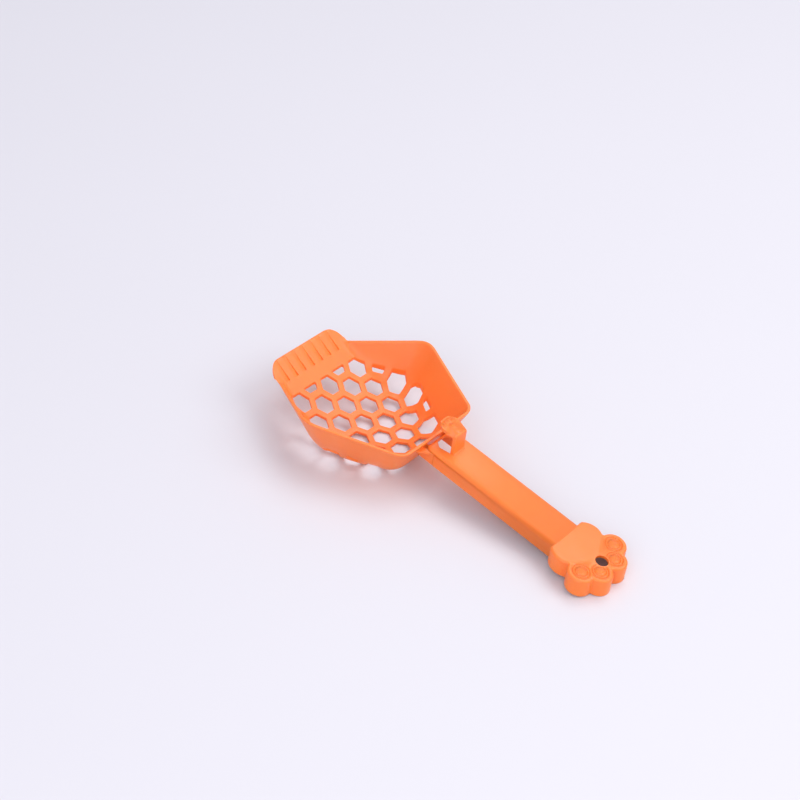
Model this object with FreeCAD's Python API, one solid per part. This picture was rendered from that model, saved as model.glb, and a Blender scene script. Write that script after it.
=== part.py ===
"""Sieve scoop in two moulded pieces: a honeycomb bowl with a plug-in fork, and a hollow handle.

Millimetres.  The scoop stands as it rests on a table: z = 0 is the table, X runs from the
lip of the bowl to the paw end of the handle, Y runs across.  All plan positions are measured
from the front edge of the lip and moved to the middle of the overall length at the end.
"""
import FreeCAD, Part
import math
import os

V = FreeCAD.Vector

# ---- overall -------------------------------------------------------------------------
WALL = 2.0                      # wall of both mouldings
RUNNING_GAP = 0.30              # between the two mouldings wherever they face each other

# ---- bowl: rim line (outer edge) -----------------------------------------------------
LIP_LENGTH = 11.9               # front edge of the lip to where the side walls start
LIP_HALF_WIDTH = 33.3
LIP_CORNER_R = 11.8
JUNCTION_RISE = 0.3             # rim above the lip where the side walls start
WIDE_X = 58.6                   # widest point of the rim
WIDE_HALF_WIDTH = 62.2
WIDE_Z = 39.3
BACK_X = 118.3                  # back edge of the rim
BACK_HALF_WIDTH = 34.6
BACK_Z = 32.1
WALL_RUN = 0.52                 # how far a side wall leans out for each millimetre of height
BACK_RUN = 0.40                 # the same for the back wall

# ---- bowl: floor ---------------------------------------------------------------------
FLOOR_LOW_X = 79.9              # where the floor touches the table
FLOOR_CLIMB = 0.01049           # how high the floor climbs to the lip ...
FLOOR_POWER = 1.84              # ... as a power of the distance from the low point
LIP_STRAIGHT_X = 12.9           # ahead of here the lip runs straight
BACK_CLIMB = 0.0080             # how fast the floor climbs to the back wall
FLOOR_BLEND = 13.0              # softness of the corner between floor and walls
LIP_BLEND = 3.5                 # the same where the walls start beside the lip
LIP_TURN = 0.45                 # how fast the walls turn away beside the lip
BLEND_START = 2.0               # the floor corner starts to soften this far behind the lip ...
BLEND_GROWTH = 34.0             # ... and is fully soft after this length
RIM_CORNER_R = 30.0             # rounding of the rim line at the widest point, seen from the side
WIDE_BLEND = 12.6               # softness of the corner between the side walls
BACK_BLEND = 12.0               # softness of the corner between side and back walls

# ---- bowl: honeycomb -----------------------------------------------------------------
HEX_PITCH = 15.66
HEX_RIB = 3.95
HEX_FIRST_X = 28.1              # first full row
HEX_CORNER_R = 0.8
SMALLEST_HOLE = 14.0            # cut-off holes with a smaller area are left solid
SIEVE_FRONT_X = 21.9            # the holes stop at this line on each side ...
SIEVE_FRONT_HALF = 30.2
SIEVE_WIDE_X = 53.9
SIEVE_WIDE_HALF = 46.5          # ... which widens to here ...
SIEVE_CORNER_X = 68.2
SIEVE_CORNER_HALF = 44.7        # ... passes the corner of the walls here ...
SIEVE_BACK_X = 101.9
SIEVE_BACK_HALF = 27.2          # ... and narrows to here

# ---- bowl: scraper grooves on the lip ------------------------------------------------
GROOVES = 7
GROOVE_SPACING = 7.96
GROOVE_FRONT_X = 1.4
GROOVE_BACK_X = 13.9
GROOVE_WIDTH = 3.2
GROOVE_DEPTH_BACK = 0.9
GROOVE_DEPTH_FRONT = 0.2
LIP_BEVEL = 1.4                 # length of the scraping bevel on the front edge ...
LIP_BEVEL_DROP = 0.62           # ... and its drop for each millimetre of length

# ---- handle --------------------------------------------------------------------------
HANDLE_HALF_WIDTH = 13.3
HANDLE_DEPTH = 11.0             # upright depth of the channel
HANDLE_TOP_X = 119.3            # the top face passes this point ...
HANDLE_TOP_Z = 29.8             # ... at this height
HANDLE_EDGE_R = 3.2
NOSE_X = 117.6                  # front end of the top plate
NOSE_CORNER_R = 4.0
SHOULDER_X = 125.3              # front end of the side walls
PAW_START_X = 219.7

# ---- paw end: lobes as centre x, centre y, radius ------------------------------------
PALM_X, PALM_Y, PALM_R = 228.4, 9.3, 10.8
OUTER_TOE_X, OUTER_TOE_Y, OUTER_TOE_R = 243.8, 17.0, 8.5
INNER_TOE_X, INNER_TOE_Y, INNER_TOE_R = 251.5, 7.6, 8.3
PAW_RAISE = 0.9                 # paw top above the handle top
PAW_EDGE_R = 1.6
PAW_CREASE_R = 1.0
HOLE_X = 247.2
HOLE_R = 4.25

# ---- hook on top of the handle -------------------------------------------------------
LEG_BACK_X = 134.1
LEG_THICKNESS = 2.1
LEG_HALF_WIDTH = 5.4
LEG_TOP_Z = 41.9                # top of the plate at the leg
PLATE_FRONT_X = 119.75
PLATE_WIDE_X = 124.4
PLATE_HALF_WIDTH = 7.5
PLATE_RISE = 0.258              # the plate climbs towards the bowl
PLATE_THICKNESS = 2.1
PLATE_FRONT_HALF = 3.8
PLATE_WIDE_R = 3.2
PLATE_FRONT_R = 2.6
HOOK_BEND_R = 1.2
LEG_FOOT_R = 1.5                # concave foot of the leg, on its paw side

# ---- raised paw print on the hook plate: centre x, centre y, radius --------------------
PRINT_RAISE = 0.35
PRINT_PALM_X, PRINT_PALM_Y, PRINT_PALM_R = 127.3, 0.0, 2.3
PRINT_OUTER_X, PRINT_OUTER_Y, PRINT_OUTER_R = 123.9, 3.9, 1.05
PRINT_INNER_X, PRINT_INNER_Y, PRINT_INNER_R = 122.3, 1.4, 1.05

# ---- shallow decoration cut into the paw end -------------------------------------------
RING_INSET = 2.9                # outer ring inside the edge of each toe
RING_GAP = 1.5                  # from the outer to the inner ring
RING_WIDTH = 0.45
RING_DEPTH = 0.25

# ---- fork on the bowl that plugs into the handle -------------------------------------
FORK_TIP_X = 153.2
FORK_ROOT = 12.0                # the prongs start this far ahead of the rim, inside the back wall
FORK_THICKNESS = 2.0
FORK_SHORT = 1.2                # fork underside above the handle underside
GUSSET_REACH = 7.4              # gusset sticks out beside the handle at the bowl wall
GUSSET_THICKNESS = 1.5
GUSSET_BACK = 1.6               # gusset stops short of the shoulder

PAW_END_X = INNER_TOE_X + INNER_TOE_R
SHIFT = V(-PAW_END_X / 2.0, 0, 0)
# the scoop stands on the floor of the bowl and on the far edge of the paw
HANDLE_FALL = (HANDLE_TOP_Z - HANDLE_DEPTH) / (PAW_END_X - HANDLE_TOP_X)


# ---- small helpers -------------------------------------------------------------------
def top_z(x):
    """Height of the handle's top face."""
    return HANDLE_TOP_Z - HANDLE_FALL * (x - HANDLE_TOP_X)


def slab(x0, x1, y0, y1, upper, lower):
    """Block that follows the fall of the handle; depths are below its top face."""
    section = [
        V(x0, y0, top_z(x0) - upper),
        V(x1, y0, top_z(x1) - upper),
        V(x1, y0, top_z(x1) - lower),
        V(x0, y0, top_z(x0) - lower),
        V(x0, y0, top_z(x0) - upper),
    ]
    return Part.Face(Part.makePolygon(section)).extrude(V(0, y1 - y0, 0))


def prism(points, z0, z1):
    """Upright prism over plan points."""
    ring = [V(x, y, z0) for x, y in points]
    return Part.Face(Part.makePolygon(ring + [ring[0]])).extrude(V(0, 0, z1 - z0))


def upright_edges(shape, keep):
    """Upright straight edges whose plan position passes the test keep(x, y)."""
    found = []
    for edge in shape.Edges:
        if len(edge.Vertexes) < 2:
            continue
        a = edge.Vertexes[0].Point
        b = edge.Vertexes[1].Point
        if math.hypot(a.x - b.x, a.y - b.y) < 1e-4 and keep(a.x, a.y):
            found.append(edge)
    return found


def fuse_all(shapes):
    """Fuse a list of solids into one."""
    return shapes[0].fuse(shapes[1:]).removeSplitter()


def one_solid(shape):
    """The single closed solid inside a boolean result."""
    solids = shape.Solids
    if len(solids) != 1:
        raise ValueError("expected one solid, got %d" % len(solids))
    return solids[0]


# ---- bowl ----------------------------------------------------------------------------
def soft_max(a, b, k):
    """The larger of a and b, rounded over where they are within k of each other."""
    h = max(k - abs(a - b), 0.0)
    return max(a, b) + h * h / (4.0 * k)


def smooth_step(t):
    t = min(max(t, 0.0), 1.0)
    return t * t * (3.0 - 2.0 * t)


def floor_z(x):
    """Inner face of the floor along the middle line."""
    ahead = FLOOR_LOW_X - x
    if ahead < 0:
        return WALL + BACK_CLIMB * ahead * ahead
    if x > LIP_STRAIGHT_X:
        return WALL + FLOOR_CLIMB * ahead ** FLOOR_POWER
    curved = FLOOR_LOW_X - LIP_STRAIGHT_X
    start = WALL + FLOOR_CLIMB * curved ** FLOOR_POWER
    fall = FLOOR_CLIMB * FLOOR_POWER * curved ** (FLOOR_POWER - 1.0)
    return start + fall * (LIP_STRAIGHT_X - x)


def rim_z(x):
    """Height of the rim, climbing to the wide corners and falling to the back."""
    junction_z = floor_z(LIP_LENGTH) + JUNCTION_RISE
    if x < WIDE_X:
        return junction_z + (WIDE_Z - junction_z) * (x - LIP_LENGTH) / (WIDE_X - LIP_LENGTH)
    return WIDE_Z + (BACK_Z - WIDE_Z) * (x - WIDE_X) / (BACK_X - WIDE_X)


def inner_z(x, y):
    """Inner face of the bowl above the plan point x, y."""
    side = abs(y)
    wall_width = WALL * math.sqrt(1.0 + WALL_RUN ** 2)
    # front side wall; ahead of the lip junction it turns away from the lip
    spread = (WIDE_HALF_WIDTH - LIP_HALF_WIDTH) / (WIDE_X - LIP_LENGTH)
    ahead = max(LIP_LENGTH - x, 0.0)
    front_half = LIP_HALF_WIDTH + spread * (x - LIP_LENGTH) - wall_width * math.hypot(1.0, spread)
    front_half += LIP_TURN * ahead * ahead
    front_climb = (WIDE_Z - rim_z(LIP_LENGTH)) / (WIDE_X - LIP_LENGTH)
    front_rim = WIDE_Z + front_climb * (x - WIDE_X)
    front_wall = front_rim + (side - front_half) / WALL_RUN
    # rear side wall
    narrow = (WIDE_HALF_WIDTH - BACK_HALF_WIDTH) / (BACK_X - WIDE_X)
    rear_half = WIDE_HALF_WIDTH - narrow * (x - WIDE_X) - wall_width * math.hypot(1.0, narrow)
    rear_rim = WIDE_Z + (BACK_Z - WIDE_Z) * (x - WIDE_X) / (BACK_X - WIDE_X)
    rear_wall = rear_rim + (side - rear_half) / WALL_RUN
    # back wall
    back_width = WALL * math.sqrt(1.0 + BACK_RUN ** 2)
    back_wall = BACK_Z + (x - BACK_X + back_width) / BACK_RUN
    walls = soft_max(front_wall, rear_wall, WIDE_BLEND)
    walls = soft_max(walls, back_wall, BACK_BLEND)
    grow = smooth_step((x - LIP_LENGTH - BLEND_START) / BLEND_GROWTH)
    blend = LIP_BLEND + (FLOOR_BLEND - LIP_BLEND) * grow
    return soft_max(floor_z(x), walls, blend)


def bowl_surfaces():
    """Inner and outer faces of the bowl as smooth surfaces over the whole plan."""
    step = 2.5
    start = V(-7.0, -72.0, 0.0)
    columns = int(round(134.0 / step))
    rows = int(round(-2.0 * start.y / step))
    inner_grid = []
    outer_grid = []
    small = 0.01
    for i in range(columns + 1):
        x = start.x + step * i
        inner_row = []
        outer_row = []
        for j in range(rows + 1):
            y = start.y + step * j
            z = inner_z(x, y)
            slope_x = (inner_z(x + small, y) - inner_z(x - small, y)) / (2 * small)
            slope_y = (inner_z(x, y + small) - inner_z(x, y - small)) / (2 * small)
            down = V(slope_x, slope_y, -1.0)
            down.normalize()
            inner_row.append(V(x, y, z))
            outer_row.append(V(x, y, z) + down * WALL)
        inner_grid.append(inner_row)
        outer_grid.append(outer_row)
    faces = []
    for grid in (inner_grid, outer_grid):
        surface = Part.BSplineSurface()
        surface.interpolate(grid)
        faces.append(surface.toShape())
    return faces


def bowl_envelope():
    """Everything inside the lip outline and below the rim."""
    reach = 75.0
    lip_side = LIP_HALF_WIDTH
    tongue = [(0, -lip_side), (40, -lip_side), (40, lip_side), (0, lip_side)]
    lip = prism(tongue, -5.0, 70.0)
    lip = lip.makeFillet(LIP_CORNER_R, upright_edges(lip, lambda x, y: abs(x) < 0.1))
    half = [
        (LIP_LENGTH, lip_side),
        (LIP_LENGTH + 2.0, lip_side + 4.0),
        (LIP_LENGTH + 2.0, reach),
        (BACK_X + 1.0, reach),
    ]
    basin = prism(half + [(x, -y) for x, y in reversed(half)], -5.0, 70.0)
    plan = lip.fuse(basin)
    side_view = [V(-1, -reach, -5)]
    for x in (-1.0, LIP_LENGTH / 2.0, LIP_LENGTH):
        side_view.append(V(x, -reach, floor_z(x) + JUNCTION_RISE))
    side_view += [
        V(WIDE_X, -reach, WIDE_Z),
        V(BACK_X + 2, -reach, rim_z(BACK_X + 2)),
        V(BACK_X + 2, -reach, -5),
        V(-1, -reach, -5),
    ]
    profile = Part.Face(Part.makePolygon(side_view)).extrude(V(0, 2 * reach, 0))
    ridge = []
    for edge in profile.Edges:
        middle = edge.CenterOfMass
        if abs(middle.x - WIDE_X) < 0.1 and abs(middle.z - WIDE_Z) < 0.1:
            ridge.append(edge)
    profile = profile.makeFillet(RIM_CORNER_R, ridge)
    return plan.common(profile)


def hex_hole(x, y):
    """One upright hexagonal hole, flats facing along X."""
    across = (HEX_PITCH - HEX_RIB) / math.sqrt(3.0)
    points = []
    for k in range(6):
        turn = math.radians(30 + 60 * k)
        points.append((x + across * math.cos(turn), y + across * math.sin(turn)))
    return prism(points, -3.0, 34.0)


def sieve_holes():
    """All holes of the honeycomb, cut off where the walls begin."""
    half = [
        (SIEVE_FRONT_X, SIEVE_FRONT_HALF),
        (SIEVE_WIDE_X, SIEVE_WIDE_HALF),
        (SIEVE_CORNER_X, SIEVE_CORNER_HALF),
        (SIEVE_BACK_X, SIEVE_BACK_HALF),
    ]
    outline = half + [(x, -y) for x, y in reversed(half)]
    field_height = 35.0
    field = prism(outline, -2.0, field_height - 2.0)
    column = HEX_PITCH * math.sqrt(3.0) / 2.0
    holes = []
    for j in range(-3, 4):
        for i in range(-1, 6):
            x = HEX_FIRST_X + HEX_PITCH * (i + 0.5 * (j % 2))
            hole = hex_hole(x, j * column).common(field)
            if not hole.Solids or hole.Volume < SMALLEST_HOLE * field_height:
                continue
            solid = hole.Solids[0]
            rounded = solid.makeFillet(HEX_CORNER_R, upright_edges(solid, lambda u, v: True))
            holes.append(rounded)
    return holes


def lip_grooves():
    """Saw-tooth grooves along the lip: steep on one side, running out on the other."""
    cuts = []
    lift = 1.0
    for k in range(GROOVES):
        y = (k - (GROOVES - 1) / 2.0) * GROOVE_SPACING
        rings = []
        for x, depth in ((GROOVE_FRONT_X, GROOVE_DEPTH_FRONT), (GROOVE_BACK_X, GROOVE_DEPTH_BACK)):
            z = floor_z(x)
            width = GROOVE_WIDTH * (depth + lift) / depth
            corners = [
                V(x, y, z + lift),
                V(x, y, z - depth),
                V(x, y - width, z + lift),
                V(x, y, z + lift),
            ]
            rings.append(Part.makePolygon(corners))
        cuts.append(Part.makeLoft(rings, True, True))
    return cuts


def fork():
    """Two prongs behind the bowl, shoulders flush with the handle, and side gussets."""
    bottom = HANDLE_DEPTH
    under_plate = WALL + RUNNING_GAP
    outer = HANDLE_HALF_WIDTH
    prong_outer = HANDLE_HALF_WIDTH - WALL - RUNNING_GAP
    inner = prong_outer - FORK_THICKNESS
    shoulder = SHOULDER_X - RUNNING_GAP
    start = BACK_X - FORK_ROOT
    pieces = []
    for side in (-1, 1):
        near = min(side * inner, side * outer)
        far = max(side * inner, side * outer)
        block = slab(start, shoulder, near, far, under_plate, bottom)
        near = min(side * inner, side * prong_outer)
        far = max(side * inner, side * prong_outer)
        prong = slab(start, FORK_TIP_X, near, far, under_plate, bottom - FORK_SHORT)
        pieces.append(block)
        pieces.append(prong)
        reach = outer + GUSSET_REACH
        plan = [
            (start, side * inner),
            (shoulder - GUSSET_BACK, side * inner),
            (shoulder - GUSSET_BACK, side * outer),
            (BACK_X - 3.0, side * reach),
            (start, side * reach),
        ]
        plate = prism(plan, 0.0, 60.0)
        band = slab(start - 1, SHOULDER_X + 5, -40, 40, under_plate, under_plate + GUSSET_THICKNESS)
        pieces.append(plate.common(band))
    return pieces


def make_sieve_bowl():
    inner_face, outer_face = bowl_surfaces()
    up = V(0, 0, 220)
    above_outer = outer_face.extrude(up)
    above_inner = inner_face.extrude(up)
    envelope = bowl_envelope()
    shell = envelope.common(above_outer).cut(above_inner)
    shell = max(shell.Solids, key=lambda s: s.Volume)
    extras = []
    for piece in fork():
        extras.append(piece.cut(above_inner))
    shell = shell.fuse(extras)
    shell = shell.cut(sieve_holes())
    shell = shell.cut(lip_grooves())
    bevel_top = floor_z(0.0) + 3.0
    drop = LIP_BEVEL * LIP_BEVEL_DROP
    slope = (floor_z(LIP_BEVEL) - floor_z(0.0)) / LIP_BEVEL
    bevel = [
        V(-1, -60, bevel_top),
        V(-1, -60, floor_z(0.0) - drop - slope - 0.2),
        V(0, -60, floor_z(0.0) - drop),
        V(LIP_BEVEL, -60, floor_z(LIP_BEVEL)),
        V(LIP_BEVEL, -60, bevel_top),
        V(-1, -60, bevel_top),
    ]
    shell = shell.cut(Part.Face(Part.makePolygon(bevel)).extrude(V(0, 120, 0)))
    return one_solid(shell)


# ---- handle --------------------------------------------------------------------------
def plate_outline():
    """Plan of the hook plate: narrow at the leg, wide and rounded towards the bowl."""
    return [
        (LEG_BACK_X, -LEG_HALF_WIDTH),
        (LEG_BACK_X, LEG_HALF_WIDTH),
        (PLATE_WIDE_X, PLATE_HALF_WIDTH),
        (PLATE_FRONT_X, PLATE_FRONT_HALF),
        (PLATE_FRONT_X, -PLATE_FRONT_HALF),
        (PLATE_WIDE_X, -PLATE_HALF_WIDTH),
    ]


def rounded_plate(points, z0, z1):
    """The hook outline as a prism with soft front corners."""
    body = prism(points, z0, z1)
    wide = upright_edges(body, lambda x, y: abs(x - PLATE_WIDE_X) < 0.1)
    body = body.makeFillet(PLATE_WIDE_R, wide)
    front = upright_edges(body, lambda x, y: abs(x - PLATE_FRONT_X) < 0.1)
    return body.makeFillet(PLATE_FRONT_R, front)


def hook():
    """Upright leg with a plate reaching towards the bowl."""
    outline = rounded_plate(plate_outline(), 0.0, 80.0)
    foot = top_z(LEG_BACK_X) - WALL / 2.0
    leg_front = LEG_BACK_X - LEG_THICKNESS
    plate_at_leg = LEG_TOP_Z
    front_top = LEG_TOP_Z + PLATE_RISE * (LEG_BACK_X - PLATE_FRONT_X + 2)
    front_x = PLATE_FRONT_X - 2
    section = [
        V(LEG_BACK_X, -20, foot),
        V(LEG_BACK_X, -20, plate_at_leg),
        V(front_x, -20, front_top),
        V(front_x, -20, front_top - PLATE_THICKNESS),
        V(leg_front, -20, plate_at_leg + PLATE_RISE * LEG_THICKNESS - PLATE_THICKNESS),
        V(leg_front, -20, foot),
        V(LEG_BACK_X, -20, foot),
    ]
    bent = Part.Face(Part.makePolygon(section)).extrude(V(0, 40, 0))
    rounds = []
    for edge in bent.Edges:
        middle = edge.CenterOfMass
        if abs(middle.y) > 0.1:
            continue
        if abs(middle.x - LEG_BACK_X) < 0.1 and abs(middle.z - plate_at_leg) < 0.1:
            rounds.append(edge)
    bent = bent.makeFillet(HOOK_BEND_R, rounds)
    return bent.common(outline)


def leg_foot():
    """Concave foot that carries the leg into the handle's top face."""
    inside = LEG_BACK_X - LEG_THICKNESS / 2.0
    reach = LEG_BACK_X + LEG_FOOT_R
    sunk = top_z(reach) - WALL / 2.0
    curve = [V(inside, -LEG_HALF_WIDTH, top_z(LEG_BACK_X) + LEG_FOOT_R)]
    for degrees in (180, 202.5, 225, 247.5, 270):
        turn = math.radians(degrees)
        x = reach + LEG_FOOT_R * math.cos(turn)
        curve.append(V(x, -LEG_HALF_WIDTH, top_z(x) + LEG_FOOT_R * (1.0 + math.sin(turn))))
    curve.append(V(reach, -LEG_HALF_WIDTH, sunk))
    curve.append(V(inside, -LEG_HALF_WIDTH, sunk))
    curve.append(curve[0])
    return Part.Face(Part.makePolygon(curve)).extrude(V(0, 2.0 * LEG_HALF_WIDTH, 0))


def paw_print():
    """Pads that stand up a little from the hook plate."""
    pads = []
    for x, y, r in (
        (PRINT_PALM_X, PRINT_PALM_Y, PRINT_PALM_R),
        (PRINT_OUTER_X, PRINT_OUTER_Y, PRINT_OUTER_R),
        (PRINT_OUTER_X, -PRINT_OUTER_Y, PRINT_OUTER_R),
        (PRINT_INNER_X, PRINT_INNER_Y, PRINT_INNER_R),
        (PRINT_INNER_X, -PRINT_INNER_Y, PRINT_INNER_R),
    ):
        pads.append(Part.makeCylinder(r, 80, V(x, y, 0)))
    back_z = LEG_TOP_Z - PLATE_THICKNESS / 2.0
    front_z = back_z + PLATE_RISE * (LEG_BACK_X - PLATE_FRONT_X)
    height = PLATE_THICKNESS / 2.0 + PRINT_RAISE
    layer = [
        V(LEG_BACK_X, -20, back_z),
        V(PLATE_FRONT_X, -20, front_z),
        V(PLATE_FRONT_X, -20, front_z + height),
        V(LEG_BACK_X, -20, back_z + height),
        V(LEG_BACK_X, -20, back_z),
    ]
    block = Part.Face(Part.makePolygon(layer)).extrude(V(0, 40, 0))
    return [pad.common(block) for pad in pads]


def paw_lobes(shrink):
    """The rounded lobes of the paw in plan, made smaller by shrink."""
    lobes = []
    for x, y, r in (
        (PALM_X, PALM_Y, PALM_R),
        (OUTER_TOE_X, OUTER_TOE_Y, OUTER_TOE_R),
        (INNER_TOE_X, INNER_TOE_Y, INNER_TOE_R),
    ):
        for side in (-1, 1):
            lobe = Part.makeCylinder(r - shrink, 60, V(x, side * y, -5))
            # the seam of each cylinder is turned to the inside of the paw
            lobe.rotate(V(x, side * y, 0), V(0, 0, 1), 180)
            lobes.append(lobe)
    half = [
        (PAW_START_X - 2.0 + 2.0 * shrink, PALM_Y),
        (PALM_X, PALM_Y),
        (OUTER_TOE_X, OUTER_TOE_Y),
        (INNER_TOE_X, INNER_TOE_Y),
    ]
    lobes.append(prism(half + [(x, -y) for x, y in reversed(half)], -5, 55))
    return lobes


def toe_rings():
    """Two shallow rings inside the edge of each toe."""
    rings = []
    top = -PAW_RAISE - 1.0
    layer = slab(PALM_X, PAW_END_X, -40, 40, top, RING_DEPTH - PAW_RAISE)
    for x, y, r in ((OUTER_TOE_X, OUTER_TOE_Y, OUTER_TOE_R), (INNER_TOE_X, INNER_TOE_Y, INNER_TOE_R)):
        for side in (-1, 1):
            for inset in (RING_INSET, RING_INSET + RING_GAP):
                outer = Part.makeCylinder(r - inset, 60, V(x, side * y, -5))
                inner = Part.makeCylinder(r - inset - RING_WIDTH, 60, V(x, side * y, -5))
                ring = outer.cut(inner).common(layer)
                hole = Part.makeCylinder(HOLE_R + 1.0, 60, V(HOLE_X, 0, -5))
                rings.append(ring.cut(hole))
    return rings


def make_handle():
    deep = HANDLE_DEPTH
    half = HANDLE_HALF_WIDTH
    bar = slab(NOSE_X, PALM_X, -half, half, 0.0, deep)
    nose = upright_edges(bar, lambda x, y: abs(x - NOSE_X) < 0.1)
    bar = bar.makeFillet(NOSE_CORNER_R, nose)
    long_edges = []
    for edge in bar.Edges:
        box = edge.BoundBox
        at_top = abs(box.ZMax - top_z(box.XMin)) < 0.05
        if at_top and box.XLength > 1.0 or (at_top and box.YLength > 5.0 and box.XMin < NOSE_X + 1):
            long_edges.append(edge)
    bar = bar.makeFillet(HANDLE_EDGE_R, long_edges)
    # paw end
    lobes = fuse_all(paw_lobes(0.0))
    creases = upright_edges(
        lobes,
        lambda x, y: x > PALM_X and (abs(y) > OUTER_TOE_Y - 3.0 or x > INNER_TOE_X),
    )
    lobes = lobes.makeFillet(PAW_CREASE_R, creases)
    raised = slab(PALM_X - 20, PAW_END_X + 5, -40, 40, -PAW_RAISE, deep)
    paw = lobes.common(raised)
    paw = paw.cut(prism([(0, -40), (PAW_START_X, -40), (PAW_START_X, 40), (0, 40)], -20, 80))
    rim = []
    for edge in paw.Edges:
        middle = edge.CenterOfMass
        if abs(middle.z - top_z(middle.x) - PAW_RAISE) < 0.3 and edge.BoundBox.ZLength < 5:
            if abs(edge.Vertexes[0].Point.z - top_z(edge.Vertexes[0].Point.x) - PAW_RAISE) < 0.01:
                rim.append(edge)
    paw = paw.makeFillet(PAW_EDGE_R, rim)
    body = bar.fuse(paw)
    body = body.fuse([hook(), leg_foot()] + paw_print())
    # hollow underneath
    inside = half - WALL
    body = body.cut(slab(SHOULDER_X - 40, PALM_X, -inside, inside, WALL, deep + 5))
    body = body.cut(slab(SHOULDER_X - 40, SHOULDER_X, -half - 5, half + 5, WALL, deep + 5))
    hollow = fuse_all(paw_lobes(WALL))
    lid = WALL - PAW_RAISE
    hollow = hollow.common(slab(PAW_START_X + 2, PAW_END_X + 5, -40, 40, lid, deep + 5))
    body = body.cut(hollow)
    # window under the hook plate
    leg_front = LEG_BACK_X - LEG_THICKNESS
    window = rounded_plate(plate_outline(), 0.0, top_z(PLATE_WIDE_X) + 1.5)
    keep = prism([(leg_front, -20), (150, -20), (150, 20), (leg_front, 20)], -5, 80)
    body = body.cut(window.cut(keep))
    square = V(HANDLE_FALL, 0, 1.0)
    below = V(HOLE_X, 0, top_z(HOLE_X)) - square * 5.0
    body = body.cut(Part.makeCylinder(HOLE_R, 20, below, square))
    body = body.cut(toe_rings())
    return one_solid(body.removeSplitter())


PARTS = {
    "sieve_bowl": make_sieve_bowl,
    "handle": make_handle,
}


def main():
    os.makedirs("parts", exist_ok=True)
    for name, make in PARTS.items():
        shape = make()
        shape.translate(SHIFT)
        if not shape.isValid():
            raise ValueError(name + " is not a valid solid")
        shape.exportStep("parts/" + name + ".step")
        corners = shape.tessellate(0.1)[0]
        spans = []
        for axis in ("x", "y", "z"):
            values = [getattr(point, axis) for point in corners]
            spans.append("%s %.2f..%.2f" % (axis, min(values), max(values)))
        print(name, ", ".join(spans), "volume %.0f" % shape.Volume)


main()
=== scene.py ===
"""Looks of a two-piece sifting scoop: a honeycomb bowl and a hollow handle in satin orange plastic.

Sizes of the bowl and fork are in millimetres, measured along the scoop from the front edge of
the lip.  Meshes are in metres in the frame of the part.
"""

import math

import bmesh
import bpy
import numpy as np
from mathutils import Matrix, Vector
from mathutils.geometry import delaunay_2d_cdt


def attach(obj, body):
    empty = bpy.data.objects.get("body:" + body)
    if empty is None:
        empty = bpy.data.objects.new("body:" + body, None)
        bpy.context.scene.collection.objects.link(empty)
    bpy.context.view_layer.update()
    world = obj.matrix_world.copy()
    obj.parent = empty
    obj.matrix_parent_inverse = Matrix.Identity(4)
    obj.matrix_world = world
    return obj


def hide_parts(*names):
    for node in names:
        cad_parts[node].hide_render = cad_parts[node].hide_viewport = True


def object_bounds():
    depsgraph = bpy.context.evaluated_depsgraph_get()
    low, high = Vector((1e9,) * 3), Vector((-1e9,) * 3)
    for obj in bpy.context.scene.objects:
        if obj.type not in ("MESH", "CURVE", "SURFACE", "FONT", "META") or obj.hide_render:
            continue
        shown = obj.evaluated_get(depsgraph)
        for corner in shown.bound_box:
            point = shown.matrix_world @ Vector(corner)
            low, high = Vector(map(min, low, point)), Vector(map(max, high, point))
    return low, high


bl_info = {
    "name": "Sifting Scoop",
    "version": (1, 0, 0),
    "blender": (4, 5, 0),
    "location": "View3D > Sidebar > Scoop",
    "description": "Builds the looks of a honeycomb sifting scoop around its CAD frame",
    "category": "Object",
}

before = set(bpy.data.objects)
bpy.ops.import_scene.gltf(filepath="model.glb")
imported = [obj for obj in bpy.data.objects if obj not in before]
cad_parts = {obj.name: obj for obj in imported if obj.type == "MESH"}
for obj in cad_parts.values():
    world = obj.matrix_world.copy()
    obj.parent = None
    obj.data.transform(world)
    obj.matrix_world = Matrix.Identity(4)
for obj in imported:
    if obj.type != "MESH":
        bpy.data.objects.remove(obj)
FRAME_LOW, FRAME_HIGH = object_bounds()
MM = 0.001
LIP_EDGE = FRAME_LOW.x

# ---- bowl form, millimetres, as in the part -----------------------------------------
WALL = 2.0
LIP_LENGTH, LIP_HALF_WIDTH, LIP_CORNER_R = 11.9, 33.3, 11.8
JUNCTION_RISE = 0.3
WIDE_X, WIDE_HALF_WIDTH, WIDE_Z = 58.6, 62.2, 39.3
BACK_X, BACK_HALF_WIDTH, BACK_Z = 118.3, 34.6, 32.1
WALL_RUN, BACK_RUN = 0.52, 0.40
FLOOR_LOW_X, FLOOR_CLIMB, FLOOR_POWER, BACK_CLIMB = 79.9, 0.01049, 1.84, 0.008
LIP_STRAIGHT_X = 12.9
FLOOR_BLEND, LIP_BLEND, LIP_TURN = 13.0, 3.5, 0.45
WIDE_BLEND, BACK_BLEND = 12.6, 12.0
BLEND_START, BLEND_GROWTH = 2.0, 34.0
RIM_BLEND, RIDGE_REACH = 0.9, 5.4
LIP_BEVEL_DROP = 0.62
SIEVE_FIRST_X = 28.1
SIEVE_FRONT_X, SIEVE_FRONT_HALF = 21.9, 30.2
SIEVE_WIDE_X, SIEVE_WIDE_HALF = 53.9, 46.5
SIEVE_CORNER_X, SIEVE_CORNER_HALF = 68.2, 44.7
SIEVE_BACK_X, SIEVE_BACK_HALF = 101.9, 27.2
SMALLEST_HOLE = 14.0
GROOVE_FRONT_X, GROOVE_BACK_X = 1.4, 13.9
GROOVE_FRONT_SHARE = 0.22

# ---- rays from the middle of the bowl that look for its rim, millimetres --------------
BOWL_CENTRE_X = 66.0
RAY_START, RAY_END = 25.0, 80.0
RIM_POINTS = 361

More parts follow.
